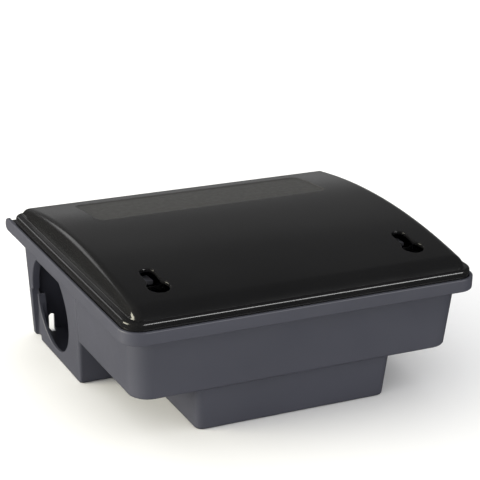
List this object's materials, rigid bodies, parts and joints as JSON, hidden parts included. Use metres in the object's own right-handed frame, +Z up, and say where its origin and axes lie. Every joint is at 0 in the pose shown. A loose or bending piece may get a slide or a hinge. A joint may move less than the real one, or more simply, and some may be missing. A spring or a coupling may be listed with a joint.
{
  "type": "rodent bait station",
  "caption": "Tamper-resistant bait station: moulded base with an end-to-end runway and a bait well, crowned hinged lid, spring latches under keyholes, lift-out tray with bait on rods.",
  "frame": {"origin": "under the middle of the rim, on the surface that the station stands on", "axes": "+X to the right along the front, +Y from the front to the hinge, +Z up"},
  "size_m": [0.255, 0.222, 0.1045],
  "materials": {
    "shell_plastic": "fine matt moulded polypropylene, dark grey",
    "lid_plastic": "glossy moulded polypropylene, black",
    "latch_plastic": "satin moulded acetal, dark grey",
    "tray_plastic": "matt moulded polypropylene, grey",
    "pin_steel": "drawn stainless wire",
    "spring_steel": "drawn spring wire",
    "rod_steel": "drawn galvanised wire",
    "bait_wax": "pressed grain and wax, blue-green"
  },
  "bodies": {
    "base": {"base_shell": "shell_plastic", "hinge_pin_left": "pin_steel", "hinge_pin_right": "pin_steel", "latch_pin_left": "pin_steel", "latch_pin_right": "pin_steel"},
    "lid": {"lid": "lid_plastic"},
    "left_latch": {"latch_left": "latch_plastic", "latch_spring_left": "spring_steel"},
    "right_latch": {"latch_right": "latch_plastic", "latch_spring_right": "spring_steel"},
    "tray": {"bait_tray": "tray_plastic", "bait_rod_front": "rod_steel", "bait_rod_rear": "rod_steel", "bait_block_front_left": "bait_wax", "bait_block_front_right": "bait_wax", "bait_block_rear_left": "bait_wax", "bait_block_rear_right": "bait_wax"}
  },
  "joints": [
    {"name": "lid_hinge", "type": "hinge", "parent": "base", "child": "lid", "pos_m": [0, 0.1065, 0.0795], "axis": [-1, 0, 0], "range_deg": [0, 105]},
    {"name": "left_latch_release", "type": "hinge", "parent": "base", "child": "left_latch", "pos_m": [-0.0925, -0.053, 0.041], "axis": [-1, 0, 0], "range_deg": [0, 8], "stiffness_Nm_per_rad": 0.03},
    {"name": "right_latch_release", "type": "hinge", "parent": "base", "child": "right_latch", "pos_m": [0.0925, -0.053, 0.041], "axis": [-1, 0, 0], "range_deg": [0, 8], "stiffness_Nm_per_rad": 0.03},
    {"name": "bait_tray_lift", "type": "slide", "parent": "base", "child": "tray", "axis": [0, 0, 1], "range_m": [0, 0.03]}
  ]
}
